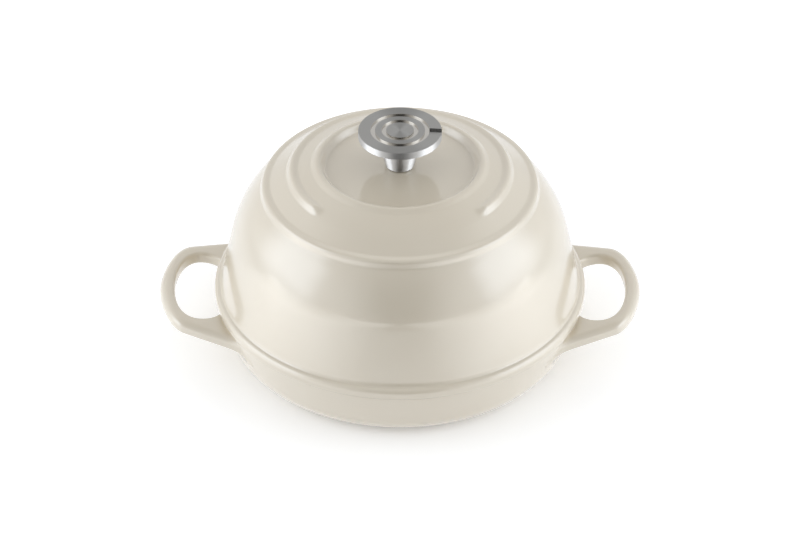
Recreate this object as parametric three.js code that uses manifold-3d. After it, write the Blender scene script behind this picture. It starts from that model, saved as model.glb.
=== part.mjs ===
// Enamelled cast iron bread pot: a low round base with two loop handles cast on, a domed lid with
// raised ridges, and a turned steel knob held by a screw from inside the lid.
// Millimetres, +Z up, handles along X, origin on the ground under the middle of the base.
import * as THREE from 'three';
import { mergeVertices } from 'three/addons/utils/BufferGeometryUtils.js';
import Module from 'manifold-3d';

// Base casting
const baseHeight = 38.8;
const baseRimRadius = 125.5;
const baseFootInset = 26.5;
const baseCornerRadius = 20;
const baseWall = 4.6;
const rimRound = 1.2;
const floorRingInset = 21;
const floorRingPitch = 24;
const floorRingHeight = 1.2;
const floorRingWidth = 6;
const floorRingTop = 2.6;

// Loop handles, cast with the base
const handleLength = 39.2;
const handleHalfWidth = 46.8;
const handleShoulder = 18.5;
const handleFlare = 19;
const handleCornerPull = 10.1;
const handleTipPull = 20.5;
const handleRootFillet = 37.5;
const handleRootOverlap = 1.2;
const handleBar = 10.1;
const handleSideBar = 10;
const holeCornerPull = 12.4;
const holeTipPull = 18.2;
const holeRootFillet = 17;
const handleThickness = 9;
const handleEdgeRound = 2;
const handleDrop = 0.8;
const handleRise = 8.2;

// Lid casting
const flangeOverhang = 1.5;
const flangeBead = 3.5;
const flangeBeadTurn = 60;
const flangeShelf = 5.2;
const flangeCove = 5;
const lidWall = 4.5;
const lidWallRise = 33.4;
const lidDraft = 12.8;
const crownRadius = 76.2;
const lipDepth = 3.5;
const lipThickness = 2.9;
const lipBlend = 7;

// Raised ridges, placed by the angle of each crest round the crown's arc, up from level
const ridgeWidth = 10.4;
const ridgeHeight = 1.8;
const outerRidgeAngle = 49.3;
const middleRidgeAngle = 64.8;
const innerRidgeAngle = 78.1;
const innerRidgeHeight = 0.9;
const middleRidgeGap = 88;
const middleRidgeEnd = 7;

// Shallow well inside the inner ridge, where the knob sits
const wellBrimSetback = 1.6;
const wellFlank = 7.5;
const wellDepth = 4.6;
const wellRise = 1.1;
const seatMargin = 6.3;
const seatThickness = 6.5;

// Knob
const knobRadius = 27.8;
const knobThickness = 5.4;
const knobEdge = 0.7;
const knobRim = 8.1;
const knobBand = 4.3;
const knobGrooveWidth = 3.1;
const knobGrooveDepth = 2.2;
const knobNotchWidth = 8;
const knobNotchStep = 0.5;
const knobNotchAngle = -5;
const stemLength = 22.4;
const stemFootRadius = 9.7;
const stemWaistRadius = 11.8;
const stemTopRadius = 15.5;
const stemFootRound = 0.9;
const stemCap = 6.3;
const spigotRadius = 6;
const spigotHeight = 2;

// Fastening
const screwRadius = 3;
const screwTipChamfer = 1;
const screwHeadOverhang = 3;
const screwHeadHeight = 3.9;
const screwHeadRound = 2.7;
const screwSlotWidth = 1.6;
const screwSlotDepth = 2;
const screwHoleClearance = 0.5;
const threadHoleSpare = 2;
const washerBand = 5.5;
const washerThickness = 1.6;
const lockWasherBand = 2.1;
const lockWasherThickness = 1.6;
const lockWasherSplit = 1.2;

// Fits
const faceGap = 0.3;
const lipClearance = 1;

// Facets
const potSides = 56;
const knobSides = 40;
const stemSides = 32;
const fastenerSides = 24;
const handleSteps = 6;

const wasm = await Module();
wasm.setup();

const radians = THREE.MathUtils.degToRad;
const point = (radius, height) => new THREE.Vector2(radius, height);
const blend = (low, high, value) => THREE.MathUtils.smoothstep(value, low, high);

// Points along an arc in the plane of a profile, angles in radians from the radial direction
function arc(centre, radius, from, to, steps) {
  const points = [];
  for (let step = 0; step <= steps; step++) {
    const angle = from + (to - from) * step / steps;
    points.push(point(centre.x + radius * Math.cos(angle), centre.y + radius * Math.sin(angle)));
  }
  return points;
}

// Points of a smooth step between two places on a profile, level at both ends
function softStep(start, end, steps) {
  const points = [];
  for (let step = 1; step < steps; step++) {
    const share = step / steps;
    const drop = blend(0, 1, share);
    points.push(point(start.x + (end.x - start.x) * share, start.y + (end.y - start.y) * drop));
  }
  return points;
}

// A turned body. Its profile is a list of points, or a function of the angle round the axis from the
// front, for a body that isn't the same all round.
function turned(profile, sides) {
  const profileAt = typeof profile === 'function' ? profile : () => profile;
  const count = profileAt(0).length;
  const geometry = new THREE.LatheGeometry(profileAt(0), sides);
  const position = geometry.attributes.position;
  for (let side = 0; side <= sides; side++) {
    const angle = (side % sides) * 2 * Math.PI / sides;
    profileAt(angle).forEach(({ x, y }, index) => {
      position.setXYZ(side * count + index, x * Math.sin(angle), y, x * Math.cos(angle));
    });
  }
  return geometry.rotateX(Math.PI / 2);
}

function solid(geometry) {
  const bare = geometry.clone();
  bare.deleteAttribute('normal');
  bare.deleteAttribute('uv');
  const merged = mergeVertices(bare, 1e-4);
  return new wasm.Manifold(new wasm.Mesh({
    numProp: 3,
    vertProperties: new Float32Array(merged.attributes.position.array),
    triVerts: new Uint32Array(merged.index.array),
  }));
}

function geometryOf(body) {
  const { vertProperties, triVerts } = body.getMesh();
  const geometry = new THREE.BufferGeometry();
  geometry.setAttribute('position', new THREE.BufferAttribute(vertProperties, 3));
  geometry.setIndex(new THREE.BufferAttribute(triVerts, 1));
  geometry.computeVertexNormals();
  return geometry;
}

// Base: the wall runs straight from the bottom corner's arc to the rim
const baseFootRadius = baseRimRadius - baseFootInset;
const cornerCentre = point(baseFootRadius, baseCornerRadius);
const rimOffset = point(baseRimRadius, baseHeight).sub(cornerCentre);
const wallNormal = rimOffset.angle() - Math.acos(baseCornerRadius / rimOffset.length());
const wallSlope = Math.tan(-wallNormal);
const rimInnerRadius = baseRimRadius - baseWall / Math.cos(wallNormal);
const baseOuterRadiusAt = (height) => baseRimRadius - (baseHeight - height) * wallSlope;
const baseInnerRadiusAt = (height) => rimInnerRadius - (baseHeight - height) * wallSlope;

function baseProfile() {
  const outerRound = point(baseRimRadius - rimRound * (1 + wallSlope), baseHeight - rimRound);
  const innerRound = point(rimInnerRadius + rimRound * (1 - wallSlope), baseHeight - rimRound);
  const points = [
    point(0, 0),
    ...arc(cornerCentre, baseCornerRadius, -Math.PI / 2, wallNormal, 5),
    ...arc(outerRound, rimRound, wallNormal, Math.PI / 2, 2),
    ...arc(innerRound, rimRound, Math.PI / 2, Math.PI + wallNormal, 2),
    ...arc(cornerCentre, baseCornerRadius - baseWall, wallNormal, -Math.PI / 2, 4),
  ];
  const outerRing = baseFootRadius - floorRingInset;
  for (let radius = outerRing; radius > floorRingWidth; radius -= floorRingPitch) {
    points.push(point(radius + floorRingWidth / 2, baseWall));
    points.push(point(radius + floorRingTop / 2, baseWall + floorRingHeight));
    points.push(point(radius - floorRingTop / 2, baseWall + floorRingHeight));
    points.push(point(radius - floorRingWidth / 2, baseWall));
  }
  points.push(point(0, baseWall));
  return points;
}

// The space inside the middle of the base's wall, used to trim the handles' roots
function baseHollowProfile() {
  const middle = baseWall / 2;
  const topHeight = baseHeight + handleThickness;
  return [
    point(0, middle),
    ...arc(cornerCentre, baseCornerRadius - middle, -Math.PI / 2, wallNormal, 5),
    point(baseOuterRadiusAt(topHeight) - middle / Math.cos(wallNormal), topHeight),
    point(0, topHeight),
  ];
}

// Centre of a fillet between a straight edge and the outside of a round wall, seen from above. The edge
// starts at a point and runs along a direction to the wall, and the fillet lies on its normal's side.
function filletCentre(start, direction, normal, wallRadius, fillet) {
  const offset = start.clone().addScaledVector(normal, fillet);
  const along = offset.dot(direction);
  const reach = wallRadius + fillet;
  const travel = -along - Math.sqrt(along ** 2 - offset.lengthSq() + reach ** 2);
  return offset.addScaledVector(direction, travel);
}

// Points of a closed outline from its half on +Y, which starts at the tip and ends at the wall
function bothHalves(half) {
  const points = half.getPoints(handleSteps);
  const mirrored = points.slice(1).map(({ x, y }) => point(x, -y)).reverse();
  return [...mirrored, ...points];
}

// One handle: a loop seen from above, filleted into the wall inside and out, with its edges rounded. It
// rises towards its tip, and its sides stay upright so that the mould can draw.
function handleGeometry() {
  const tip = baseRimRadius + handleLength;
  const wallRadius = baseOuterRadiusAt(baseHeight - handleDrop - handleThickness) - handleRootOverlap;
  const towardsAxis = (centre) => Math.atan2(-centre.y, -centre.x);

  const flare = radians(handleFlare);
  const sideOut = point(Math.cos(flare), -Math.sin(flare));
  const sideNormal = point(Math.sin(flare), Math.cos(flare));
  const shoulder = point(tip - handleShoulder, handleHalfWidth);
  const corner = shoulder.clone().addScaledVector(sideOut, handleCornerPull);
  const sideIn = sideOut.clone().negate();
  const rootCentre = filletCentre(shoulder, sideIn, sideNormal, wallRadius, handleRootFillet);
  const rootEnd = rootCentre.clone().setLength(wallRadius);
  const buried = rootEnd.clone().setLength(wallRadius - 2 * baseWall);
  const half = new THREE.Path();
  half.moveTo(tip, 0);
  half.bezierCurveTo(tip, handleTipPull, corner.x, corner.y, shoulder.x, shoulder.y);
  half.absarc(rootCentre.x, rootCentre.y, handleRootFillet,
    sideNormal.angle() - Math.PI, towardsAxis(rootCentre), true);
  half.lineTo(buried.x, buried.y);
  const outline = new THREE.Shape(bothHalves(half));

  const holeTip = tip - handleBar;
  const holeSide = point(holeTip, handleHalfWidth - handleSideBar);
  const holeCentre = filletCentre(holeSide, point(-1, 0), point(0, -1), wallRadius, holeRootFillet);
  const halfHole = new THREE.Path();
  halfHole.moveTo(holeTip, 0);
  halfHole.bezierCurveTo(holeTip, holeTipPull,
    holeCentre.x + holeCornerPull, holeSide.y, holeCentre.x, holeSide.y);
  halfHole.absarc(holeCentre.x, holeCentre.y, holeRootFillet,
    Math.PI / 2, towardsAxis(holeCentre), false);
  outline.holes.push(new THREE.Path(bothHalves(halfHole)));

  const geometry = new THREE.ExtrudeGeometry(outline, {
    depth: handleThickness - 2 * handleEdgeRound,
    bevelThickness: handleEdgeRound,
    bevelSize: handleEdgeRound,
    bevelOffset: -handleEdgeRound,
    bevelSegments: 2,
  });
  geometry.translate(-baseRimRadius, 0, handleEdgeRound - handleThickness);
  geometry.applyMatrix4(new THREE.Matrix4().makeShear(0, Math.tan(radians(handleRise)), 0, 0, 0, 0));
  return geometry.translate(baseRimRadius, 0, baseHeight - handleDrop);
}

function basePan() {
  const handle = handleGeometry();
  const turnedHandle = handle.clone().rotateZ(Math.PI);
  const bowl = solid(turned(baseProfile(), potSides));
  const hollow = solid(turned(baseHollowProfile(), potSides));
  const loops = solid(handle).add(solid(turnedHandle)).subtract(hollow);
  return geometryOf(bowl.add(loops));
}

// Lid: a rolled flange, a cove, a straight wall that leans in by the draft, and one arc for the crown
const draft = radians(lidDraft);
const draftSlope = Math.tan(draft);
const beadTurn = radians(flangeBeadTurn);
const flangeRadius = baseRimRadius + flangeOverhang;
const flangeBottom = baseHeight + faceGap;
const beadCentre = point(flangeRadius - flangeBead, flangeBottom + flangeBead);
const bead = arc(beadCentre, flangeBead, -Math.PI / 2, beadTurn, 5);
const beadEnd = bead[bead.length - 1];
const wallFoot = point(flangeRadius - flangeShelf, beadEnd.y + flangeCove);
const crownStart = point(wallFoot.x - lidWallRise * draftSlope, wallFoot.y + lidWallRise);
const crownCentre = arc(crownStart, -crownRadius, draft, draft, 1)[0];
const ridgeHalfAngle = ridgeWidth / 2 / crownRadius;

// The cove leaves the bead and meets the wall in line with each
const coveReach = (beadEnd.x - wallFoot.x - flangeCove * draftSlope)
  / (Math.sin(beadTurn) - Math.cos(beadTurn) * draftSlope);
const coveCorner = point(
  beadEnd.x - coveReach * Math.sin(beadTurn),
  beadEnd.y + coveReach * Math.cos(beadTurn),
);

// Points over one ridge at shares of its half width from the crest, from the outside to the axis
function ridgePoints(crestAngle, height, shares) {
  return shares.map((share) => {
    const angle = radians(crestAngle) + share * ridgeHalfAngle;
    const rise = height * (1 + Math.cos(Math.PI * share)) / 2;
    return arc(crownCentre, crownRadius + rise, angle, angle, 1)[0];
  });
}

// The inner ridge stops at the well's brim, just past its crest
const brimShare = wellBrimSetback / (ridgeWidth / 2);
const innerRidge = ridgePoints(innerRidgeAngle, innerRidgeHeight, [-1, -0.6, -0.25, 0, brimShare]);
const brim = innerRidge[innerRidge.length - 1];
const wellEdge = point(brim.x - wellFlank, brim.y - wellDepth);
const seatEdge = point(stemFootRadius + seatMargin, wellEdge.y + wellRise);
const underside = seatEdge.y - seatThickness;
const screwHoleRadius = screwRadius + screwHoleClearance;

// Share of the middle ridge that stands at an angle round the axis: none in the gap at the front
function middleRidgeShare(angle) {
  const fromFront = Math.abs(THREE.MathUtils.radToDeg(Math.atan2(Math.sin(angle), Math.cos(angle))));
  return blend(middleRidgeGap / 2, middleRidgeGap / 2 + middleRidgeEnd, fromFront);
}

function lidProfile(angle) {
  const lipBottom = flangeBottom - lipDepth;
  const lipOuterTop = point(baseInnerRadiusAt(flangeBottom) - lipClearance, flangeBottom);
  const lipOuterBottom = point(baseInnerRadiusAt(lipBottom) - lipClearance, lipBottom);
  const lipInner = lipOuterBottom.x - lipThickness;
  const blendTop = flangeBottom + lipBlend;
  const innerFootRadius = wallFoot.x - lidWall / Math.cos(draft);
  const innerBlendRadius = innerFootRadius + (wallFoot.y - blendTop) * draftSlope;
  const innerCrown = crownRadius - lidWall;
  const hollowEdge = Math.acos((brim.x - crownCentre.x) / innerCrown);
  const innerArc = arc(crownCentre, innerCrown, hollowEdge, draft, 7);
  const hollowCorner = point(wellEdge.x, underside);
  const outerRidgeStart = radians(outerRidgeAngle) - ridgeHalfAngle;
  const wholeRidge = [-1, -0.65, -0.35, 0, 0.35, 0.65, 1];
  const middleHeight = ridgeHeight * middleRidgeShare(angle);
  return [
    lipOuterTop,
    ...bead,
    ...new THREE.QuadraticBezierCurve(beadEnd, coveCorner, wallFoot).getPoints(4).slice(1),
    ...arc(crownCentre, crownRadius, draft, outerRidgeStart, 4).slice(0, -1),
    ...ridgePoints(outerRidgeAngle, ridgeHeight, wholeRidge),
    ...ridgePoints(middleRidgeAngle, middleHeight, wholeRidge),
    ...innerRidge,
    ...softStep(brim, wellEdge, 5),
    wellEdge,
    ...softStep(wellEdge, seatEdge, 3),
    seatEdge,
    point(screwHoleRadius, seatEdge.y),
    point(screwHoleRadius, underside),
    hollowCorner,
    ...softStep(hollowCorner, innerArc[0], 3),
    ...innerArc,
    point(innerBlendRadius, blendTop),
    point(lipInner, flangeBottom + lipBlend / 2),
    point(lipInner, lipBottom),
    lipOuterBottom,
    lipOuterTop,
  ];
}

// Knob: a grooved disc on a flared stem, which a screw draws down on its seat in the well
const stemBottom = seatEdge.y + faceGap;
const stemTop = stemBottom + stemLength;
const discBottom = stemTop + faceGap;
const discTop = discBottom + knobThickness;
const boreTop = stemTop - stemCap;
const washerBottom = underside - faceGap - washerThickness;
const lockWasherBottom = washerBottom - faceGap - lockWasherThickness;
const screwSeat = lockWasherBottom - faceGap;

function knobDisc() {
  const socketTop = discBottom + spigotHeight + faceGap;
  const socketRadius = spigotRadius + faceGap;
  const grooveFloor = discTop - knobGrooveDepth;
  const grooveEdge = knobRadius - knobRim;
  const bandEdge = grooveEdge - knobGrooveWidth;
  const innerGrooveEdge = bandEdge - knobBand;
  const groovePoints = (outer) => [
    point(outer, discTop),
    point(outer, grooveFloor),
    point(outer - knobGrooveWidth, grooveFloor),
    point(outer - knobGrooveWidth, discTop),
  ];
  const profile = [
    point(0, socketTop),
    point(socketRadius, socketTop),
    point(socketRadius, discBottom),
    point(knobRadius - 2 * knobEdge, discBottom),
    point(knobRadius - knobEdge / 2, discBottom + knobEdge / 2),
    point(knobRadius, discBottom + 2 * knobEdge),
    point(knobRadius, discTop - knobEdge),
    point(knobRadius - knobEdge, discTop),
    ...groovePoints(grooveEdge),
    ...groovePoints(innerGrooveEdge),
    point(0, discTop),
  ];
  const notchStart = (grooveEdge + bandEdge) / 2;
  const notchLength = knobRadius - notchStart + knobEdge;
  const notchDepth = knobGrooveDepth + knobNotchStep;
  const notch = new THREE.BoxGeometry(notchLength, knobNotchWidth, 2 * notchDepth);
  notch.translate(notchStart + notchLength / 2, 0, discTop);
  notch.rotateZ(radians(knobNotchAngle));
  return geometryOf(solid(turned(profile, knobSides)).subtract(solid(notch)));
}

function knobStem() {
  const side = new THREE.QuadraticBezierCurve(
    point(stemFootRadius, stemBottom + stemFootRound),
    point(stemWaistRadius, (stemBottom + stemTop) / 2),
    point(stemTopRadius, stemTop),
  );
  const boreRadius = screwRadius + faceGap;
  return turned([
    point(0, boreTop),
    point(boreRadius, boreTop),
    point(boreRadius, stemBottom),
    point(stemFootRadius - stemFootRound, stemBottom),
    ...side.getPoints(6),
    point(spigotRadius, stemTop),
    point(spigotRadius, stemTop + spigotHeight),
    point(0, stemTop + spigotHeight),
  ], stemSides);
}

function knobScrew() {
  const headRadius = screwRadius + screwHeadOverhang;
  const headBottom = screwSeat - screwHeadHeight;
  const screwTop = boreTop - threadHoleSpare;
  const roundCentre = point(headRadius - screwHeadRound, headBottom + screwHeadRound);
  const profile = [
    point(0, headBottom),
    ...arc(roundCentre, screwHeadRound, -Math.PI / 2, 0, 3),
    point(headRadius, screwSeat),
    point(screwRadius, screwSeat),
    point(screwRadius, screwTop - screwTipChamfer),
    point(screwRadius - screwTipChamfer, screwTop),
    point(0, screwTop),
  ];
  const slot = new THREE.BoxGeometry(3 * headRadius, screwSlotWidth, 2 * screwSlotDepth);
  slot.translate(0, 0, headBottom);
  return geometryOf(solid(turned(profile, fastenerSides)).subtract(solid(slot)));
}

// A flat ring round the screw
function ring(band, bottom, thickness) {
  const outerRadius = screwHoleRadius + band;
  const top = bottom + thickness;
  return turned([
    point(screwHoleRadius, bottom),
    point(outerRadius, bottom),
    point(outerRadius, top),
    point(screwHoleRadius, top),
    point(screwHoleRadius, bottom),
  ], fastenerSides);
}

function lockWasher() {
  const whole = ring(lockWasherBand, lockWasherBottom, lockWasherThickness);
  const reach = screwHoleRadius + 2 * lockWasherBand;
  const split = new THREE.BoxGeometry(reach, lockWasherSplit, 3 * lockWasherThickness);
  split.translate(reach / 2, 0, lockWasherBottom);
  return geometryOf(solid(whole).subtract(solid(split)));
}

const enamel = new THREE.MeshStandardMaterial({ color: '#d9d2c3', roughness: 0.12, metalness: 0 });
const brushedSteel = new THREE.MeshStandardMaterial({ color: '#8f8d8a', roughness: 0.35, metalness: 1 });
const polishedSteel = new THREE.MeshStandardMaterial({ color: '#a5a3a0', roughness: 0.15, metalness: 1 });
const zincSteel = new THREE.MeshStandardMaterial({ color: '#b4b4b0', roughness: 0.4, metalness: 1 });

function piece(name, geometry, material) {
  const mesh = new THREE.Mesh(geometry, material);
  mesh.name = name;
  return mesh;
}

const base = new THREE.Group();
base.add(piece('base_pan', basePan(), enamel));

const lid = new THREE.Group();
lid.add(piece('lid_dome', turned(lidProfile, potSides), enamel));
lid.add(piece('knob_disc', knobDisc(), brushedSteel));
lid.add(piece('knob_stem', knobStem(), polishedSteel));
lid.add(piece('knob_screw', knobScrew(), zincSteel));
lid.add(piece('flat_washer', ring(washerBand, washerBottom, washerThickness), zincSteel));
lid.add(piece('lock_washer', lockWasher(), zincSteel));

const breadPot = new THREE.Group();
breadPot.add(base, lid);

export default breadPot;
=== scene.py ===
import math
import bpy
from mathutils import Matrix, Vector


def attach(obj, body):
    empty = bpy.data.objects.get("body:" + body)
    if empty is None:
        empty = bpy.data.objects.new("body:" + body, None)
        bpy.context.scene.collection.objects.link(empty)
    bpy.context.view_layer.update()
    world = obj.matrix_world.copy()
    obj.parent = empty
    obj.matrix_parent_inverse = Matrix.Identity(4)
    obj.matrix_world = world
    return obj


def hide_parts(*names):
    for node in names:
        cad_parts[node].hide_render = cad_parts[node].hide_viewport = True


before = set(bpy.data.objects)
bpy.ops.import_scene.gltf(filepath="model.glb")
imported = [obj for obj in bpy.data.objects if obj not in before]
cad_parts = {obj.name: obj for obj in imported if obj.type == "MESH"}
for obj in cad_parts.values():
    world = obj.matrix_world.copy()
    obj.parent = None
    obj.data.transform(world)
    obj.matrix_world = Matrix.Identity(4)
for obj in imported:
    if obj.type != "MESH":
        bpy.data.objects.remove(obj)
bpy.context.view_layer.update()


# Base: the low pan of the pot, one iron casting with its two loop handles. It is cast in sand, shot
# blasted and enamelled, gloss cream outside and dark satin inside, with low rings cast on its floor.
mm = 0.001
rim_height = 39 * mm
rim_radius = 125.5 * mm
foot_radius = 99 * mm
foot_corner = 20 * mm
base_wall = 4.6 * mm
rim_round = 0.6 * mm
floor_ring_radii = [78 * mm, 54 * mm, 30 * mm]
floor_ring_width = 6 * mm
floor_ring_height = 1.2 * mm
floor_ring_steps = 12
pot_sides = 256
weld_distance = 0.002 * mm
sharp_angle = math.radians(35)


def arc(centre, radius, start, end, steps):
    """Points (radius, height) of an arc, angles in radians from level."""
    angles = [start + (end - start) * step / steps for step in range(steps + 1)]
    return [(centre[0] + radius * math.cos(a), centre[1] + radius * math.sin(a)) for a in angles]


def smooth_share(low, high, value):
    """0 below low, 1 above high, with a soft S between."""
    share = min(max((value - low) / (high - low), 0), 1)
    return share * share * (3 - 2 * share)


def roll(share):
    """Height of a soft roll at a share of its half width: 1 on its crest, 0 at its feet."""
    return (1 + math.cos(math.pi * share)) / 2


def apply_modifier(piece, name, kind, **settings):
    """Add a modifier with its settings and apply it."""
    modifier = piece.modifiers.new(name, kind)
    for setting, value in settings.items():
        setattr(modifier, setting, value)
    bpy.context.view_layer.objects.active = piece
    bpy.ops.object.modifier_apply(modifier=modifier.name)


def turn_on_lathe(name, profile, sides):
    """Draw a profile of (radius, height) points from one vertex and spin it about the pot's axis."""
    bpy.ops.object.select_all(action="DESELECT")
    bpy.ops.mesh.primitive_plane_add(size=mm)
    piece = bpy.context.object
    piece.name = name
    bpy.ops.object.mode_set(mode="EDIT")
    bpy.ops.mesh.merge(type="CENTER")
    bpy.ops.transform.translate(value=(profile[0][0], 0, profile[0][1]))
    for (radius, height), (next_radius, next_height) in zip(profile, profile[1:]):
        step = (next_radius - radius, 0, next_height - height)
        bpy.ops.mesh.extrude_region_move(TRANSFORM_OT_translate={"value": step})
    bpy.ops.mesh.select_all(action="SELECT")
    bpy.ops.mesh.spin(steps=sides, angle=2 * math.pi, center=(0, 0, 0), axis=(0, 0, 1))
    bpy.ops.mesh.select_all(action="SELECT")
    bpy.ops.mesh.remove_doubles(threshold=weld_distance)
    bpy.ops.mesh.normals_make_consistent(inside=False)
    bpy.ops.object.mode_set(mode="OBJECT")
    return piece


def shade_smooth(piece):
    """Shade one piece smooth, but for its sharp edges."""
    bpy.ops.object.select_all(action="DESELECT")
    piece.select_set(True)
    bpy.ops.object.shade_smooth_by_angle(angle=sharp_angle)


corner_centre = (foot_radius, foot_corner)
rim_across = rim_radius - foot_radius
rim_up = rim_height - foot_corner
wall_lean = math.acos(foot_corner / math.hypot(rim_across, rim_up)) - math.atan2(rim_up, rim_across)
wall_slope = math.tan(wall_lean)
rim_inner_radius = rim_radius - base_wall / math.cos(wall_lean)
outer_round = (rim_radius - rim_round * (1 + wall_slope), rim_height - rim_round)
inner_round = (rim_inner_radius + rim_round * (1 - wall_slope), rim_height - rim_round)
base_profile = [(0, 0)]
base_profile += arc(corner_centre, foot_corner, -math.pi / 2, -wall_lean, steps=24)
base_profile += arc(outer_round, rim_round, -wall_lean, math.pi / 2, steps=8)
base_profile += arc(inner_round, rim_round, math.pi / 2, math.pi - wall_lean, steps=8)
base_profile += arc(corner_centre, foot_corner - base_wall, -wall_lean, -math.pi / 2, steps=20)
for ring_radius in floor_ring_radii:
    for step in range(floor_ring_steps + 1):
        share = 1 - 2 * step / floor_ring_steps
        ring_height = base_wall + floor_ring_height * roll(share)
        base_profile.append((ring_radius + share * floor_ring_width / 2, ring_height))
base_profile.append((0, base_wall))
base = turn_on_lathe("enamelled_base", base_profile, pot_sides)

# The loop of one handle seen from above: half of its outline and half of its hole, from the tip to the
# wall, each a soft bow and a fillet into the wall
handle_reach = 39.2 * mm
handle_tip = rim_radius + handle_reach
handle_half_width = 46.8 * mm
handle_shoulder = 18.5 * mm
handle_flare = math.radians(19)
handle_corner_pull = 10.1 * mm
handle_tip_pull = 20.5 * mm
handle_root_fillet = 37.5 * mm
tip_bar = 10.1 * mm
side_bar = 10 * mm
hole_tip = handle_tip - tip_bar
hole_half_width = handle_half_width - side_bar
hole_corner_pull = 12.4 * mm
hole_tip_pull = 18.2 * mm
hole_root_fillet = 17 * mm
handle_thickness = 9 * mm
handle_drop = 1 * mm
handle_slope = math.tan(math.radians(8.2))
handle_round = 2.4 * mm
handle_side_round = 4.2 * mm
handle_tip_round = 6 * mm
handle_round_width = 6.4 * mm
tip_round_shares = (0.3, 0.9)
handle_under_round = 2.4 * mm
handle_under_fillet = 3 * mm
root_inset = 1.2 * mm
handle_stations = 45
handle_round_steps = 8


def outer_wall(height):
    """Radius of the base's outer wall at a height."""
    return rim_radius - (rim_height - height) * wall_slope


wall_reach = outer_wall(rim_height - handle_drop - handle_thickness) - root_inset


def fillet_centre(start, direction, normal, fillet):
    """Centre of a fillet between a straight edge, running to the wall, and the round wall."""
    offset = start + normal * fillet
    along = offset.dot(direction)
    reach = wall_reach + fillet
    return offset + direction * (-along - math.sqrt(along ** 2 - offset.length_squared + reach ** 2))


def bow(start, start_pull, end_pull, end, steps):
    """Points of a cubic curve between two places."""
    points = []
    for step in range(steps):
        t = step / steps
        near = start * (1 - t) ** 3 + start_pull * 3 * t * (1 - t) ** 2
        points.append(near + end_pull * 3 * t ** 2 * (1 - t) + end * t ** 3)
    return points


def even_points(points, count):
    """The same line with its points at even steps along it."""
    lengths = [0]
    for here, there in zip(points, points[1:]):
        lengths.append(lengths[-1] + (there - here).length)
    even = []
    index = 0
    for step in range(count):
        goal = lengths[-1] * step / (count - 1)
        while index < len(points) - 2 and lengths[index + 1] < goal:
            index += 1
        share = (goal - lengths[index]) / (lengths[index + 1] - lengths[index])
        even.append(points[index].lerp(points[index + 1], share))
    return even


side_out = Vector((math.cos(handle_flare), -math.sin(handle_flare)))
side_normal = Vector((math.sin(handle_flare), math.cos(handle_flare)))
shoulder = Vector((handle_tip - handle_shoulder, handle_half_width))
root_centre = fillet_centre(shoulder, -side_out, side_normal, handle_root_fillet)
root_start = math.atan2(-side_normal.y, -side_normal.x)
root_end = math.atan2(-root_centre.y, -root_centre.x)
outline = bow(Vector((handle_tip, 0)), Vector((handle_tip, handle_tip_pull)),
              shoulder + side_out * handle_corner_pull, shoulder, steps=40)
outline += [Vector(p) for p in arc(root_centre, handle_root_fillet, root_start, root_end, steps=40)]
outline = even_points(outline, handle_stations)
outline.append(outline[-1] * (1 - 2 * base_wall / wall_reach))

hole_side = Vector((hole_tip, hole_half_width))
hole_centre = fillet_centre(hole_side, Vector((-1, 0)), Vector((0, -1)), hole_root_fillet)
hole_end = math.atan2(-hole_centre.y, -hole_centre.x) + 2 * math.pi
hole_start = Vector((hole_centre.x, hole_half_width))
hole_line = bow(Vector((hole_tip, 0)), Vector((hole_tip, hole_tip_pull)),
                hole_start + Vector((hole_corner_pull, 0)), hole_start, steps=40)
hole_line += [Vector(p) for p in arc(hole_centre, hole_root_fillet, math.pi / 2, hole_end, steps=40)]
hole_line = even_points(hole_line, handle_stations)
hole_line.append(hole_line[-1] * (1 - 2 * base_wall / wall_reach))


def handle_point(spot, drop, from_top):
    """A point of the loop's skin: its place from above, and its depth below the top or above the bottom."""
    top = rim_height - handle_drop + (spot.x - rim_radius) * handle_slope
    height = top - drop if from_top else top - handle_thickness + drop
    if not from_top:
        clear = min(max(spot.length - outer_wall(height), 0), handle_under_fillet)
        left = handle_under_fillet - clear
        height -= handle_under_fillet - math.sqrt(handle_under_fillet ** 2 - left ** 2)
    return (spot.x, spot.y, height)


def handle_section(outer, hole):
    """The loop's section at one station: a bar with rounded corners, rounder outside at the tip."""
    inward = (hole - outer).normalized()
    tip_share = 1 - smooth_share(*tip_round_shares, abs(outer.y) / handle_half_width)
    outer_drop = handle_side_round + (handle_tip_round - handle_side_round) * tip_share
    corners = [
        (hole, -inward, handle_round, handle_round, True, False),
        (outer, inward, handle_round_width, outer_drop, True, True),
        (outer, inward, handle_under_round, handle_under_round, False, False),
        (hole, -inward, handle_under_round, handle_under_round, False, True),
    ]
    points = []
    for edge, direction, width, drop, from_top, backwards in corners:
        for step in range(handle_round_steps + 1):
            share = step / handle_round_steps
            angle = math.pi / 2 * (1 - share if backwards else share)
            spot = edge + direction * width * (1 - math.cos(angle))
            points.append(handle_point(spot, drop * (1 - math.sin(angle)), from_top))
    return points


mirrored = Vector((1, -1))
sections = [handle_section(o * mirrored, h * mirrored) for o, h in zip(outline, hole_line)][:0:-1]
sections += [handle_section(o, h) for o, h in zip(outline, hole_line)]

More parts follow.
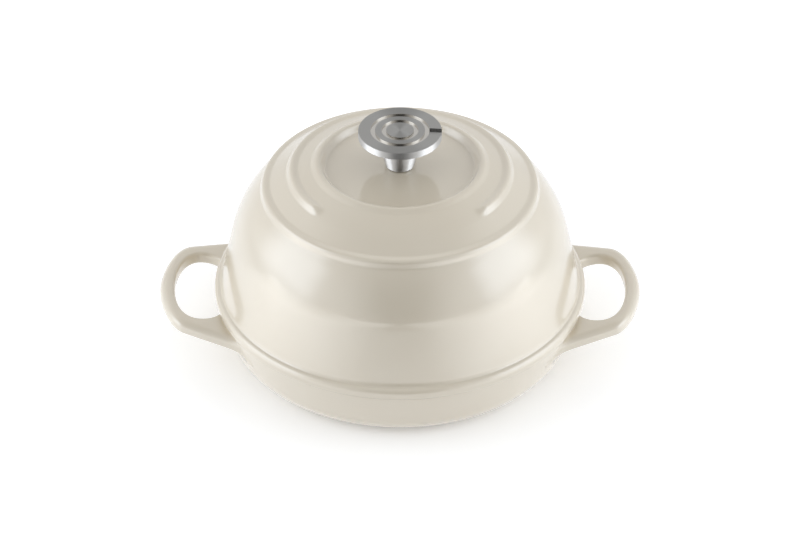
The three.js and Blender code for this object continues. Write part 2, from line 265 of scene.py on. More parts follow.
# A flat grid is wrapped round these sections and closed at both ends, which run on into the wall
ring_count = len(sections[0])
bpy.ops.object.select_all(action="DESELECT")
bpy.ops.mesh.primitive_grid_add(x_subdivisions=ring_count, y_subdivisions=len(sections) - 1)
right_handle = bpy.context.object
for vertex in right_handle.data.vertices:
    station, corner = divmod(vertex.index, ring_count + 1)
    vertex.co = sections[station][corner % ring_count]
bpy.ops.object.mode_set(mode="EDIT")
bpy.ops.mesh.select_all(action="SELECT")
bpy.ops.mesh.remove_doubles(threshold=weld_distance)
bpy.ops.mesh.fill_holes(sides=0)
bpy.ops.mesh.select_all(action="SELECT")
bpy.ops.mesh.normals_make_consistent(inside=False)
bpy.ops.object.mode_set(mode="OBJECT")
bpy.ops.object.duplicate()
left_handle = bpy.context.object
bpy.ops.transform.rotate(value=math.pi, orient_axis="Z", center_override=(0, 0, 0))
bpy.ops.object.transform_apply()

# The roots are trimmed to the middle of the wall, and the loops are then one body with the base
wall_middle = [(0, base_wall / 2)]
wall_middle += arc(corner_centre, foot_corner - base_wall / 2, -math.pi / 2, -wall_lean, steps=24)
trim_height = rim_height + handle_thickness
wall_middle.append((outer_wall(trim_height) - base_wall / 2 / math.cos(wall_lean), trim_height))
wall_middle.append((0, trim_height))
root_trim = turn_on_lathe("root_trim", wall_middle, pot_sides)
for handle in (right_handle, left_handle):
    apply_modifier(handle, "root", "BOOLEAN", operation="DIFFERENCE", solver="MANIFOLD", object=root_trim)
    apply_modifier(base, "cast_on", "BOOLEAN", operation="UNION", solver="MANIFOLD", object=handle)
    bpy.data.objects.remove(handle)
bpy.data.objects.remove(root_trim)
shade_smooth(base)


def linear(hex_colour):
    """Linear colour of an sRGB hex value."""
    channels = [int(hex_colour[i:i + 2], 16) / 255 for i in (1, 3, 5)]
    return [c / 12.92 if c <= 0.04045 else ((c + 0.055) / 1.055) ** 2.4 for c in channels] + [1]


def add_node(tree, kind, inputs, **settings):
    """Add a node with its settings. Each input is a value, or the socket that is linked to it."""
    node = tree.nodes.new(kind)
    for setting, value in settings.items():
        setattr(node, setting, value)
    for name, value in inputs.items():
        if isinstance(value, bpy.types.NodeSocket):
            tree.links.new(value, node.inputs[name])
        else:
            node.inputs[name].default_value = value
    return node


def start_material(name):
    """A new material with an empty node tree."""
    material = bpy.data.materials.new(name)
    material.use_nodes = True
    material.node_tree.nodes.clear()
    return material


# Cream vitreous enamel, fired on the iron: a glassy coat with a broad, faint unevenness of thickness,
# which shifts its tint a little and makes long reflections waver
glaze_patch = 45 * mm
glaze_ripple = 14 * mm
cream_enamel = start_material("cream_vitreous_enamel")
tree = cream_enamel.node_tree
place = add_node(tree, "ShaderNodeTexCoord", {}).outputs["Object"]
patches = add_node(tree, "ShaderNodeTexNoise", {"Vector": place, "Scale": 1 / glaze_patch, "Detail": 3})
tint = add_node(tree, "ShaderNodeMix", {
    "Factor": patches.outputs["Fac"],
    "A": linear("#e2d9c7"),
    "B": linear("#ded3bf"),
}, data_type="RGBA")
ripple = add_node(tree, "ShaderNodeTexNoise", {"Vector": place, "Scale": 1 / glaze_ripple, "Detail": 1})
waver = add_node(tree, "ShaderNodeBump", {
    "Height": ripple.outputs["Fac"],
    "Strength": 0.12,
    "Distance": 0.25 * mm,
})
shader = add_node(tree, "ShaderNodeBsdfPrincipled", {
    "Base Color": tint.outputs["Result"],
    "Roughness": 0.3,
    "IOR": 1.6,
    "Coat Weight": 1,
    "Coat Roughness": 0.1,
    "Coat IOR": 1.8,
    "Normal": waver.outputs["Normal"],
})
add_node(tree, "ShaderNodeOutputMaterial", {"Surface": shader.outputs["BSDF"]})

# Dark satin enamel inside: the same glass with a matting agent, which leaves a fine grain that scatters
# the gloss
satin_grain = 0.9 * mm
satin_enamel = start_material("dark_satin_enamel")
tree = satin_enamel.node_tree
place = add_node(tree, "ShaderNodeTexCoord", {}).outputs["Object"]
grain = add_node(tree, "ShaderNodeTexNoise", {"Vector": place, "Scale": 1 / satin_grain, "Detail": 2})
tint = add_node(tree, "ShaderNodeMix", {
    "Factor": grain.outputs["Fac"],
    "A": linear("#242322"),
    "B": linear("#34322f"),
}, data_type="RGBA")
matting = add_node(tree, "ShaderNodeMapRange", {
    "Value": grain.outputs["Fac"],
    "To Min": 0.36,
    "To Max": 0.52,
})
bumps = add_node(tree, "ShaderNodeBump", {
    "Height": grain.outputs["Fac"],
    "Strength": 0.2,
    "Distance": 0.06 * mm,
})
shader = add_node(tree, "ShaderNodeBsdfPrincipled", {
    "Base Color": tint.outputs["Result"],
    "Roughness": matting.outputs["Result"],
    "IOR": 1.52,
    "Normal": bumps.outputs["Normal"],
})
add_node(tree, "ShaderNodeOutputMaterial", {"Surface": shader.outputs["BSDF"]})

base.data.materials.clear()
base.data.materials.append(cream_enamel)
base.data.materials.append(satin_enamel)
for face in base.data.polygons:
    within_wall = face.center.xy.length < outer_wall(face.center.z) - base_wall / 2
    face.material_index = int(face.normal.z > 0 and within_wall)
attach(base, "base")
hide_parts("base_pan")


# Lid: the tall dome, a second iron casting with a rolled flange that lies on the base's rim, a lip that
# keeps it there, three raised ridges round the crown and a shallow well for the knob. Enamelled alike.
flange_overhang = 1.5 * mm
casting_gap = 0.1 * mm
flange_radius = rim_radius + flange_overhang
flange_bottom = rim_height + casting_gap
flange_bead = 4 * mm
flange_under_round = 2 * mm
bead_turn = math.radians(78)
flange_shelf = 5.2 * mm
flange_rise = 11.53 * mm
lid_wall = 4.5 * mm
lid_wall_rise = 33.4 * mm
draft = math.radians(12.8)
crown_radius = 76.2 * mm
lip_depth = 3.5 * mm
lip_thickness = 2.9 * mm
lip_clearance = 1 * mm
lip_blend = 7 * mm
ridge_width = 10.4 * mm
ridge_height = 2.3 * mm
outer_ridge_height = 2.4 * mm
inner_ridge_height = 1.3 * mm
outer_ridge = math.radians(48.3)
middle_ridge = math.radians(64.8)
inner_ridge = math.radians(78.1)
middle_ridge_gap = math.radians(88)
middle_ridge_end = math.radians(7)
well_setback = 1.6 * mm
well_flank = 5 * mm
well_depth = 4.91 * mm
well_rise = 1.1 * mm
stem_foot_radius = 9.7 * mm
seat_margin = 6.3 * mm
seat_radius = stem_foot_radius + seat_margin
seat_thickness = 6.5 * mm
screw_hole_radius = 3.5 * mm
ridge_steps = 24
lid_corner = 0.6 * mm
edge_limit = math.radians(40)
skin_depth = 0.1 * mm
upright = 0.001

draft_slope = math.tan(draft)
bead_centre = (flange_radius - flange_bead, flange_bottom + flange_bead)
under_centre = (flange_radius - flange_under_round, flange_bottom + flange_under_round)
bead = arc(under_centre, flange_under_round, -math.pi / 2, 0, steps=12)
bead += arc(bead_centre, flange_bead, 0, bead_turn, steps=12)
bead_end = bead[-1]
wall_foot = (flange_radius - flange_shelf, flange_bottom + flange_rise)
crown_start = (wall_foot[0] - lid_wall_rise * draft_slope, wall_foot[1] + lid_wall_rise)
crown_centre = (crown_start[0] - crown_radius * math.cos(draft),
                crown_start[1] - crown_radius * math.sin(draft))
ridge_half_angle = ridge_width / 2 / crown_radius


def ridge_points(crest, height, first, last):
    """Points over one ridge, a soft roll on the crown, between two shares of its half width."""
    points = []
    for step in range(ridge_steps + 1):
        share = first + (last - first) * step / ridge_steps
        rise = height * roll(share)
        angle = crest + share * ridge_half_angle
        points += arc(crown_centre, crown_radius + rise, angle, angle, steps=1)[:1]
    return points


def soft_step(start, end, steps):
    """Points of a step between two places, level at both ends."""
    points = []
    for step in range(steps + 1):
        share = step / steps
        drop = smooth_share(0, 1, share)
        points.append((start[0] + (end[0] - start[0]) * share, start[1] + (end[1] - start[1]) * drop))
    return points


def bend(start, corner, end, steps):
    """Points of a curve between two places, bent towards a corner."""
    return bow(start, start.lerp(corner, 2 / 3), end.lerp(corner, 2 / 3), end, steps)


def break_edges(piece, width, segments=2, limit=edge_limit):
    """Round the edges of a piece that are sharper than the limit, and shade it smooth."""
    apply_modifier(piece, "broken_edges", "BEVEL", width=width, segments=segments, limit_method="ANGLE",
                   angle_limit=limit)
    shade_smooth(piece)


cove_rise = wall_foot[1] - bead_end[1]
cove_reach = (bead_end[0] - wall_foot[0] - cove_rise * draft_slope) / (
    math.sin(bead_turn) - math.cos(bead_turn) * draft_slope)
cove_corner = Vector((bead_end[0] - cove_reach * math.sin(bead_turn),
                      bead_end[1] + cove_reach * math.cos(bead_turn)))
cove = bend(Vector(bead_end), cove_corner, Vector(wall_foot), steps=14)

inner_ridge_points = ridge_points(inner_ridge, inner_ridge_height, -1, well_setback / (ridge_width / 2))
brim = inner_ridge_points[-1]
well_edge = (brim[0] - well_flank, brim[1] - well_depth)
seat_edge = (seat_radius, well_edge[1] + well_rise)
underside = seat_edge[1] - seat_thickness
inner_crown = crown_radius - lid_wall
hollow_edge = math.acos((brim[0] - crown_centre[0]) / inner_crown)
inner_arc = arc(crown_centre, inner_crown, hollow_edge, draft, steps=30)
lip_bottom = flange_bottom - lip_depth
lip_top_radius = rim_inner_radius + (flange_bottom - rim_height) * wall_slope - lip_clearance
lip_bottom_radius = rim_inner_radius - (rim_height - lip_bottom) * wall_slope - lip_clearance
lip_inner_radius = lip_bottom_radius - lip_thickness
blend_top = flange_bottom + lip_blend
inner_foot_radius = wall_foot[0] - lid_wall / math.cos(draft)
blend_radius = inner_foot_radius + (wall_foot[1] - blend_top) * draft_slope

lid_profile = [(lip_top_radius, flange_bottom)]
lid_profile += bead
lid_profile += [tuple(p) for p in cove[1:]]
lid_profile.append(wall_foot)
lid_profile += arc(crown_centre, crown_radius, draft, outer_ridge - ridge_half_angle, steps=30)[:-1]
lid_profile += ridge_points(outer_ridge, outer_ridge_height, -1, 1)
lid_profile += ridge_points(middle_ridge, 0, -1, 1)
lid_profile += inner_ridge_points
lid_profile += soft_step(brim, well_edge, steps=16)[1:]
lid_profile += soft_step(well_edge, seat_edge, steps=10)[1:]
lid_profile.append((screw_hole_radius, seat_edge[1]))
lid_profile.append((screw_hole_radius, underside))
lid_profile += soft_step((well_edge[0], underside), inner_arc[0], steps=12)
lid_profile += inner_arc[1:]
blend_bottom = (lip_inner_radius, flange_bottom + lip_blend / 2)
lid_profile += soft_step((blend_radius, blend_top), blend_bottom, steps=8)
lid_profile.append((lip_inner_radius, lip_bottom))
lid_profile.append((lip_bottom_radius, lip_bottom))
lid_profile.append(lid_profile[0])
lid = turn_on_lathe("enamelled_lid", lid_profile, pot_sides)

# The middle ridge stops either side of a gap at the front, so it is raised out of the plain crown
raised = lid.vertex_groups.new(name="middle_ridge")
for vertex in lid.data.vertices:
    across = vertex.co.xy.length - crown_centre[0]
    up = vertex.co.z - crown_centre[1]
    share = (math.atan2(up, across) - middle_ridge) / ridge_half_angle
    if abs(share) < 1 and math.hypot(across, up) > crown_radius - skin_depth:
        from_front = abs(math.atan2(vertex.co.x, -vertex.co.y))
        ends = smooth_share(middle_ridge_gap / 2, middle_ridge_gap / 2 + middle_ridge_end, from_front)
        raised.add([vertex.index], ends * roll(share), "REPLACE")
apply_modifier(lid, "middle_ridge", "DISPLACE", vertex_group=raised.name, mid_level=0, strength=ridge_height)
lid.vertex_groups.clear()
break_edges(lid, lid_corner, segments=3)

lid.data.materials.append(cream_enamel)
lid.data.materials.append(satin_enamel)
for face in lid.data.polygons:
    face_radius = face.center.xy.length
    looks_down = face.normal.z < upright or face.center.z < flange_bottom
    face.material_index = int(looks_down and face_radius < bead_centre[0])
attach(lid, "lid")
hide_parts("lid_dome")


# Stem of the knob: a flared neck of stainless steel, turned from bar, standing on the seat in the well.
# It has a blind threaded hole from below, and a spigot on top that carries the disc.
face_gap = 0.3 * mm
stem_bottom = seat_edge[1] + face_gap
stem_height = 22.4 * mm
stem_top = stem_bottom + stem_height
stem_waist_radius = 11.8 * mm
stem_top_radius = 15.5 * mm
stem_foot_round = 0.9 * mm
stem_bevel = 0.2 * mm
stem_edge_limit = math.radians(30)
bore_radius = 3.3 * mm
bore_cover = 6.3 * mm
bore_top = stem_top - bore_cover
spigot_radius = 6 * mm
spigot_height = 2 * mm
spigot_top = stem_top + spigot_height
knob_sides = 160

flare_start = Vector((stem_foot_radius, stem_bottom + stem_foot_round))
flare_waist = Vector((stem_waist_radius, (stem_bottom + stem_top) / 2))
flare_end = Vector((stem_top_radius, stem_top))
flare = bend(flare_start, flare_waist, flare_end, steps=28)
stem_profile = [(0, bore_top), (bore_radius, bore_top), (bore_radius, stem_bottom)]
stem_profile.append((stem_foot_radius - stem_foot_round, stem_bottom))
stem_profile += [tuple(p) for p in flare]
stem_profile += [tuple(flare_end), (spigot_radius, stem_top), (spigot_radius, spigot_top), (0, spigot_top)]
stem = turn_on_lathe("turned_stem", stem_profile, knob_sides)
break_edges(stem, stem_bevel, limit=stem_edge_limit)

# Turned stainless steel: the tool's fine steps run round it, too fine to see, each leaning up a little, so
# it mirrors the lamps and the room in upright streaks
step_lean = 0.75
turning_mark = 1.1 * mm
turned_steel = start_material("turned_stainless_steel")
tree = turned_steel.node_tree
place = add_node(tree, "ShaderNodeTexCoord", {}).outputs["Object"]
height_of = add_node(tree, "ShaderNodeSeparateXYZ", {"Vector": place}).outputs["Z"]
along = add_node(tree, "ShaderNodeMath", {0: height_of, 1: 1 / turning_mark}, operation="MULTIPLY")
marks = add_node(tree, "ShaderNodeTexNoise", {"W": along.outputs["Value"], "Scale": 1, "Detail": 2},
                 noise_dimensions="1D")
polish = add_node(tree, "ShaderNodeMapRange", {
    "Value": marks.outputs["Fac"],
    "To Min": 0.3,
    "To Max": 0.38,
})
steps = add_node(tree, "ShaderNodeMath", {0: height_of, 1: -step_lean}, operation="MULTIPLY")
lean = add_node(tree, "ShaderNodeBump", {"Height": steps.outputs["Value"], "Strength": 1, "Distance": 1})
round_axis = add_node(tree, "ShaderNodeTangent", {}, direction_type="RADIAL", axis="Z")
shader = add_node(tree, "ShaderNodeBsdfPrincipled", {
    "Base Color": linear("#c3c2c0"),
    "Metallic": 1,
    "Roughness": polish.outputs["Result"],
    "Anisotropic": 0.9,
    "Anisotropic Rotation": 0.25,
    "Tangent": round_axis.outputs["Tangent"],
    "Normal": lean.outputs["Normal"],
})
add_node(tree, "ShaderNodeOutputMaterial", {"Surface": shader.outputs["BSDF"]})
stem.data.materials.append(turned_steel)
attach(stem, "lid")
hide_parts("knob_stem")


# Disc of the knob: the stainless steel grip, turned with two grooves in its face, brushed in circles and
# milled with one radial notch. It is pressed on the stem's spigot.
disc_bottom = stem_top + face_gap
disc_thickness = 5.4 * mm
disc_top = disc_bottom + disc_thickness
disc_radius = 27.8 * mm
disc_edge = 0.4 * mm
disc_bevel = 0.3 * mm
disc_face_tilt = 0.9
groove_width = 3.1 * mm
groove_depth = 1.15 * mm
groove_floor = disc_top - groove_depth
groove_margin = 0.2 * mm
rim_band = 8.1 * mm
middle_band = 4.3 * mm
outer_groove = disc_radius - rim_band
inner_groove = outer_groove - groove_width - middle_band
notch_width = 8 * mm
notch_depth = 1.5 * mm
notch_overlap = 0.3 * mm
notch_angle = math.radians(-5)
socket_radius = spigot_radius + face_gap
socket_top = spigot_top + 2 * face_gap

disc_profile = [(0, socket_top), (socket_radius, socket_top), (socket_radius, disc_bottom)]
disc_profile += arc((disc_radius - disc_edge, disc_bottom + disc_edge), disc_edge, -math.pi / 2, 0, steps=6)
disc_profile += arc((disc_radius - disc_edge, disc_top - disc_edge), disc_edge, 0, math.pi / 2, steps=6)
for groove in (outer_groove, inner_groove):
    disc_profile += [(groove, disc_top), (groove, groove_floor)]
    disc_profile += [(groove - groove_width, groove_floor), (groove - groove_width, disc_top)]
disc_profile.append((0, disc_top))
disc = turn_on_lathe("turned_disc", disc_profile, knob_sides)


def cut_box(piece, size, middle, turn=0):
    """Cut a box, turned about the pot's axis, out of a piece."""
    bpy.ops.object.select_all(action="DESELECT")
    bpy.ops.mesh.primitive_cube_add(size=1)
    cutter = bpy.context.object
    bpy.ops.object.mode_set(mode="EDIT")
    bpy.ops.transform.resize(value=size)
    bpy.ops.transform.translate(value=middle)
    bpy.ops.object.mode_set(mode="OBJECT")
    cutter.rotation_euler.z = turn
    bpy.context.view_layer.update()
    apply_modifier(piece, "cut", "BOOLEAN", operation="DIFFERENCE", solver="MANIFOLD", object=cutter)
    bpy.data.objects.remove(cutter)


notch_start = outer_groove - notch_overlap
notch_reach = disc_radius + disc_edge - notch_start
notch_middle = (notch_start + notch_reach / 2, 0, disc_top)
cut_box(disc, (notch_reach, notch_width, 2 * notch_depth), notch_middle, turn=notch_angle)
break_edges(disc, disc_bevel)
apply_modifier(disc, "flat_faces", "WEIGHTED_NORMAL", weight=100, keep_sharp=True)

# Brushed stainless steel: fine scratches run in circles round the disc, so highlights fan out from its
# middle. The scratches are drawn coarser than they are, so that they show.
scratch_width = 0.5 * mm
brushed_steel = start_material("brushed_stainless_steel")
tree = brushed_steel.node_tree
place = add_node(tree, "ShaderNodeTexCoord", {}).outputs["Object"]
level = add_node(tree, "ShaderNodeVectorMath", {0: place, 1: (1, 1, 0)}, operation="MULTIPLY")
from_axis = add_node(tree, "ShaderNodeVectorMath", {0: level.outputs["Vector"]}, operation="LENGTH")
rings = add_node(tree, "ShaderNodeMath", {
    0: from_axis.outputs["Value"],
    1: 1 / scratch_width,
}, operation="MULTIPLY")
scratches = add_node(tree, "ShaderNodeTexNoise", {"W": rings.outputs["Value"], "Scale": 1, "Detail": 3},
                     noise_dimensions="1D")
tint = add_node(tree, "ShaderNodeMix", {
    "Factor": scratches.outputs["Fac"],
    "A": linear("#a0a09e"),
    "B": linear("#b2b1af"),
}, data_type="RGBA")
brushing = add_node(tree, "ShaderNodeMapRange", {
    "Value": scratches.outputs["Fac"],
    "To Min": 0.32,
    "To Max": 0.44,
})
round_axis = add_node(tree, "ShaderNodeTangent", {}, direction_type="RADIAL", axis="Z")
shader = add_node(tree, "ShaderNodeBsdfPrincipled", {
    "Base Color": tint.outputs["Result"],
    "Metallic": 1,
    "Roughness": brushing.outputs["Result"],
    "Anisotropic": 0.9,
    "Anisotropic Rotation": 0.25,
    "Tangent": round_axis.outputs["Tangent"],
})
add_node(tree, "ShaderNodeOutputMaterial", {"Surface": shader.outputs["BSDF"]})

# Bright stainless steel in the grooves: the tool's last cut left them nearly a mirror
cut_mark = 0.8 * mm
bright_steel = start_material("bright_cut_stainless_steel")
tree = bright_steel.node_tree
place = add_node(tree, "ShaderNodeTexCoord", {}).outputs["Object"]
marks = add_node(tree, "ShaderNodeTexNoise", {"Vector": place, "Scale": 1 / cut_mark, "Detail": 2})
polish = add_node(tree, "ShaderNodeMapRange", {
    "Value": marks.outputs["Fac"],
    "To Min": 0.06,
    "To Max": 0.16,
})
shader = add_node(tree, "ShaderNodeBsdfPrincipled", {
    "Base Color": linear("#c9c6c1"),
    "Metallic": 1,
    "Roughness": polish.outputs["Result"],
})
add_node(tree, "ShaderNodeOutputMaterial", {"Surface": shader.outputs["BSDF"]})
disc.data.materials.clear()
disc.data.materials.append(brushed_steel)
disc.data.materials.append(turned_steel)
disc.data.materials.append(bright_steel)
for face in disc.data.polygons:
    face_radius = face.center.xy.length
    below_top = disc_top - face.center.z
    if face_radius > disc_radius - disc_edge and face.normal.z < disc_face_tilt:
        face.material_index = 1
    elif groove_margin < below_top < notch_depth + disc_edge and face_radius < outer_groove:
        face.material_index = 2
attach(disc, "lid")
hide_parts("knob_disc")


# Washers under the lid's crown: a plain one of zinc plated steel against the enamel, and a split spring
# washer under the screw's head, which keeps the knob tight as it warms and cools.
washer_thickness = 1.6 * mm
washer_rim = 5.5 * mm
washer_radius = screw_hole_radius + washer_rim
washer_bevel = 0.25 * mm
washer_bottom = underside - face_gap - washer_thickness
spring_wire = 2.1 * mm
spring_radius = screw_hole_radius + spring_wire
spring_bevel = 0.2 * mm
spring_bottom = washer_bottom - face_gap - washer_thickness
spring_split = 1.2 * mm
fastener_sides = 96


def ring_profile(radius, bottom):
    """Section of a flat ring round the screw."""
    top = bottom + washer_thickness
    corners = [(screw_hole_radius, bottom), (radius, bottom), (radius, top), (screw_hole_radius, top)]
    return corners + corners[:1]


plain_washer = turn_on_lathe("plain_washer", ring_profile(washer_radius, washer_bottom), fastener_sides)
break_edges(plain_washer, washer_bevel)
spring_washer = turn_on_lathe("spring_washer", ring_profile(spring_radius, spring_bottom), fastener_sides)
split_middle = (spring_radius, 0, spring_bottom + washer_thickness / 2)
cut_box(spring_washer, (2 * spring_radius, spring_split, 3 * washer_thickness), split_middle)
break_edges(spring_washer, spring_bevel)

# Zinc plated steel: a soft grey metal skin, clouded by the plating's crystals
spangle = 2.5 * mm
zinc_steel = start_material("zinc_plated_steel")
tree = zinc_steel.node_tree
place = add_node(tree, "ShaderNodeTexCoord", {}).outputs["Object"]
clouds = add_node(tree, "ShaderNodeTexNoise", {"Vector": place, "Scale": 1 / spangle, "Detail": 4})
tint = add_node(tree, "ShaderNodeMix", {
    "Factor": clouds.outputs["Fac"],
    "A": linear("#a9aaa8"),
    "B": linear("#c6c7c4"),
}, data_type="RGBA")
dullness = add_node(tree, "ShaderNodeMapRange", {
    "Value": clouds.outputs["Fac"],
    "To Min": 0.28,
    "To Max": 0.45,
})
shader = add_node(tree, "ShaderNodeBsdfPrincipled", {
    "Base Color": tint.outputs["Result"],
    "Metallic": 1,
    "Roughness": dullness.outputs["Result"],
})
add_node(tree, "ShaderNodeOutputMaterial", {"Surface": shader.outputs["BSDF"]})
for washer, node in ((plain_washer, "flat_washer"), (spring_washer, "lock_washer")):
    washer.data.materials.clear()
    washer.data.materials.append(zinc_steel)
    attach(washer, "lid")
    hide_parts(node)


# Screw of the knob: a zinc plated steel machine screw with a slotted pan head, driven up from inside the
# lid into the stem, which it draws down on its seat.
screw_radius = 3 * mm
screw_tip_chamfer = 1 * mm
screw_head_radius = 6 * mm
screw_head_height = 3.9 * mm
screw_head_round = 2.7 * mm
screw_seat = spring_bottom - face_gap
screw_end_gap = 2 * mm
screw_top = bore_top - screw_end_gap
screw_bevel = 0.15 * mm
slot_width = 1.6 * mm
slot_depth = 2 * mm

head_bottom = screw_seat - screw_head_height
head_round_centre = (screw_head_radius - screw_head_round, head_bottom + screw_head_round)
screw_profile = [(0, head_bottom)]
screw_profile += arc(head_round_centre, screw_head_round, -math.pi / 2, 0, steps=14)
screw_profile += [(screw_head_radius, screw_seat), (screw_radius, screw_seat)]
screw_profile.append((screw_radius, screw_top - screw_tip_chamfer))
screw_profile += [(screw_radius - screw_tip_chamfer, screw_top), (0, screw_top)]
screw = turn_on_lathe("slotted_screw", screw_profile, fastener_sides)
cut_box(screw, (3 * screw_head_radius, slot_width, 2 * slot_depth), (0, 0, head_bottom))
break_edges(screw, screw_bevel)
screw.data.materials.clear()
screw.data.materials.append(zinc_steel)
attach(screw, "lid")
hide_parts("knob_screw")


# Floor: a wide sheet of white board under the pot. It takes the pot's shadow and reads as plain white away
# from it. Its colour is painted darker towards the camera as painted shade, which the pot mirrors. Mirrors
# also see a painted reflection: a bright pool of glow each side, which only reflections see. It is clear
# from below.
floor_radius = 8
floor_gap = 0.2 * mm
bpy.ops.object.select_all(action="DESELECT")
bpy.ops.mesh.primitive_circle_add(vertices=96, radius=floor_radius, fill_type="NGON",
                                  location=(0, 0, -floor_gap))
floor = bpy.context.object
floor.name = "white_floor"
white_board = start_material("white_board")
tree = white_board.node_tree
place = add_node(tree, "ShaderNodeTexCoord", {}).outputs["Object"]
places = add_node(tree, "ShaderNodeSeparateXYZ", {"Vector": place})
sideways = add_node(tree, "ShaderNodeMath", {0: places.outputs["X"]}, operation="ABSOLUTE")
# Painted reflection: the board glows for glossy rays only, brighter each side of the pot than the camera
# sees it
painted_reflection_pool = add_node(tree, "ShaderNodeMapRange", {
    "Value": sideways.outputs["Value"],
    "From Min": 0.12,
    "From Max": 0.4,
    "To Min": 0.36,
    "To Max": 1.6,
})
from_pot = add_node(tree, "ShaderNodeVectorMath", {0: place}, operation="LENGTH")
away = add_node(tree, "ShaderNodeMapRange", {
    "Value": from_pot.outputs["Value"],
    "From Min": 0.12,
    "From Max": 0.52,
    "To Min": 0.23,
    "To Max": 1,
}, clamp=False)
# Painted shade: the board's own colour darkens towards the camera, standing in for light that falls off
# there
painted_front_shade = add_node(tree, "ShaderNodeMapRange", {
    "Value": places.outputs["Y"],
    "From Min": -0.8,
    "From Max": -0.25,
    "To Min": 0.1,
    "To Max": 0.94,
})
rays = add_node(tree, "ShaderNodeLightPath", {})
# The painted reflection pool is dimmed behind the pot
in_front = add_node(tree, "ShaderNodeMapRange", {
    "Value": places.outputs["Y"],
    "From Min": -0.1,
    "From Max": 0.1,
    "To Min": painted_reflection_pool.outputs["Result"],
    "To Max": 0.25,
})
mirrored_ray = add_node(tree, "ShaderNodeMath", {
    0: rays.outputs["Is Glossy Ray"],
    1: in_front.outputs["Result"],
}, operation="MULTIPLY")
lift = add_node(tree, "ShaderNodeMath", {
    0: rays.outputs["Is Camera Ray"],
    1: away.outputs["Result"],
    2: mirrored_ray.outputs["Value"],
}, operation="MULTIPLY_ADD")
board = add_node(tree, "ShaderNodeBsdfDiffuse", {"Color": painted_front_shade.outputs["Result"]})
glow = add_node(tree, "ShaderNodeEmission", {"Color": linear("#ffffff"), "Strength": lift.outputs["Value"]})
both = add_node(tree, "ShaderNodeAddShader", {0: board.outputs["BSDF"], 1: glow.outputs["Emission"]})
under = add_node(tree, "ShaderNodeNewGeometry", {}).outputs["Backfacing"]
clear = add_node(tree, "ShaderNodeBsdfTransparent", {})
one_sided = add_node(tree, "ShaderNodeMixShader", {
    0: under,
    1: both.outputs["Shader"],
    2: clear.outputs["BSDF"],
})
add_node(tree, "ShaderNodeOutputMaterial", {"Surface": one_sided.outputs["Shader"]})
floor.data.materials.append(white_board)


# Light: a large softbox each side, bright in the middle and fading to its edges, in a white tent that is
# dark on the camera's side and dimmer overhead
panel_width = 0.85
panel_height = 0.85
panel_distance = 0.65
panel_forward = 0.17
panel_middle = 0.38
panel = bpy.data.lights.new("side_panel", "AREA")
panel.shape = "RECTANGLE"
panel.size = panel_width
panel.size_y = panel_height
panel.energy = 3.6
panel.color = (0.94, 1.01, 1.1)
panel.use_nodes = True
tree = panel.node_tree
tree.nodes.clear()
spot = add_node(tree, "ShaderNodeNewGeometry", {}).outputs["Parametric"]
spots = add_node(tree, "ShaderNodeSeparateXYZ", {"Vector": spot})
fades = []
for axis in ("X", "Y"):
    offset = add_node(tree, "ShaderNodeMath", {0: spots.outputs[axis], 1: 0.5}, operation="SUBTRACT")
    from_middle = add_node(tree, "ShaderNodeMath", {0: offset.outputs["Value"]}, operation="ABSOLUTE")
    fades.append(add_node(tree, "ShaderNodeMapRange", {
        "Value": from_middle.outputs["Value"],
        "From Min": 0.15,
        "From Max": 0.5,
        "To Min": 1,
        "To Max": 0,
    }, interpolation_type="SMOOTHSTEP").outputs["Result"])
fade = add_node(tree, "ShaderNodeMath", {0: fades[0], 1: fades[1]}, operation="MULTIPLY")
cloth = add_node(tree, "ShaderNodeEmission", {"Strength": fade.outputs["Value"]})
add_node(tree, "ShaderNodeOutputLight", {"Surface": cloth.outputs["Emission"]})
for side in (-1, 1):
    stand = bpy.data.objects.new("side_panel", panel)
    bpy.context.collection.objects.link(stand)
    stand.location = (side * panel_distance, -panel_forward, panel_middle)
    stand.rotation_euler = (math.pi / 2, 0, side * math.pi / 2)
    stand.visible_camera = False

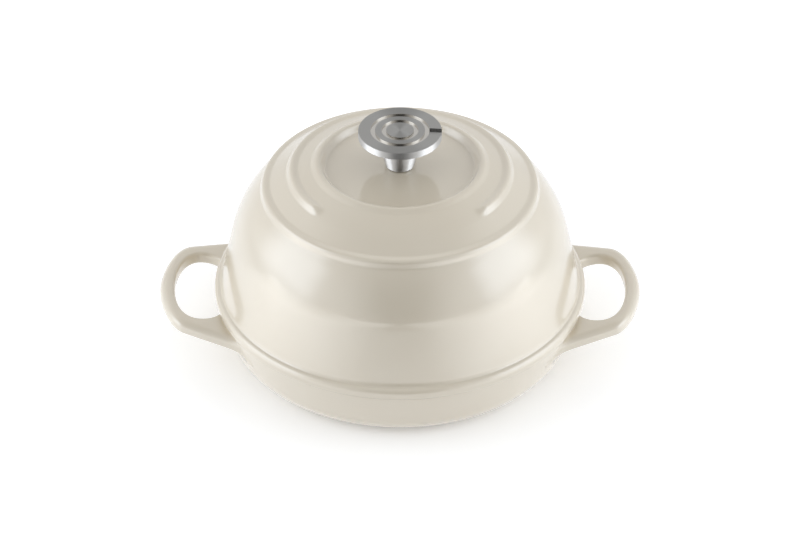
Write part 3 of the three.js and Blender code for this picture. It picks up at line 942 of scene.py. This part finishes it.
room = bpy.data.worlds.new("room")
bpy.context.scene.world = room
room.use_nodes = True
tree = room.node_tree
tree.nodes.clear()
way = add_node(tree, "ShaderNodeTexCoord", {}).outputs["Generated"]
ways = add_node(tree, "ShaderNodeSeparateXYZ", {"Vector": way})
behind = add_node(tree, "ShaderNodeMapRange", {
    "Value": ways.outputs["Y"],
    "From Min": -0.95,
    "From Max": -0.1,
    "To Min": 0.05,
    "To Max": 0.78,
}, interpolation_type="SMOOTHSTEP")
sideways = add_node(tree, "ShaderNodeMath", {0: ways.outputs["X"]}, operation="ABSOLUTE")
forward = add_node(tree, "ShaderNodeMath", {
    0: ways.outputs["Y"],
    1: -0.2,
    2: sideways.outputs["Value"],
}, operation="MULTIPLY_ADD")
flanks = add_node(tree, "ShaderNodeMapRange", {
    "Value": forward.outputs["Value"],
    "From Min": 0.3,
    "From Max": 0.9,
    "To Min": behind.outputs["Result"],
    "To Max": 1.1,
}, interpolation_type="SMOOTHSTEP")
roofless = add_node(tree, "ShaderNodeMapRange", {
    "Value": ways.outputs["Z"],
    "From Min": 0.75,
    "From Max": 0.97,
    "To Min": flanks.outputs["Result"],
    "To Max": 0.42,
}, interpolation_type="SMOOTHSTEP")
rays = add_node(tree, "ShaderNodeLightPath", {})
strength = add_node(tree, "ShaderNodeMix", {
    "Factor": rays.outputs["Is Camera Ray"],
    "A": roofless.outputs["Result"],
    "B": 1,
}, data_type="FLOAT")
sky = add_node(tree, "ShaderNodeBackground", {
    "Color": linear("#ffffff"),
    "Strength": strength.outputs["Result"],
})
add_node(tree, "ShaderNodeOutputWorld", {"Surface": sky.outputs["Background"]})


# Camera: the photograph's view, about 36 degrees down on the pot from the front, and a touch to the right
camera_distance = 1.738
camera_height = 1.313
camera_turn = math.radians(0.4)
camera_tilt = math.radians(54.12)
lens = bpy.data.cameras.new("camera")
lens.sensor_width = 36
lens.lens = 141.03
camera = bpy.data.objects.new("camera", lens)
bpy.context.collection.objects.link(camera)
camera_across = camera_distance * math.sin(camera_turn)
camera.location = (camera_across, -camera_distance * math.cos(camera_turn), camera_height)
camera.rotation_euler = (camera_tilt, 0, camera_turn)
bpy.context.scene.camera = camera
bpy.context.scene.view_settings.view_transform = "Standard"
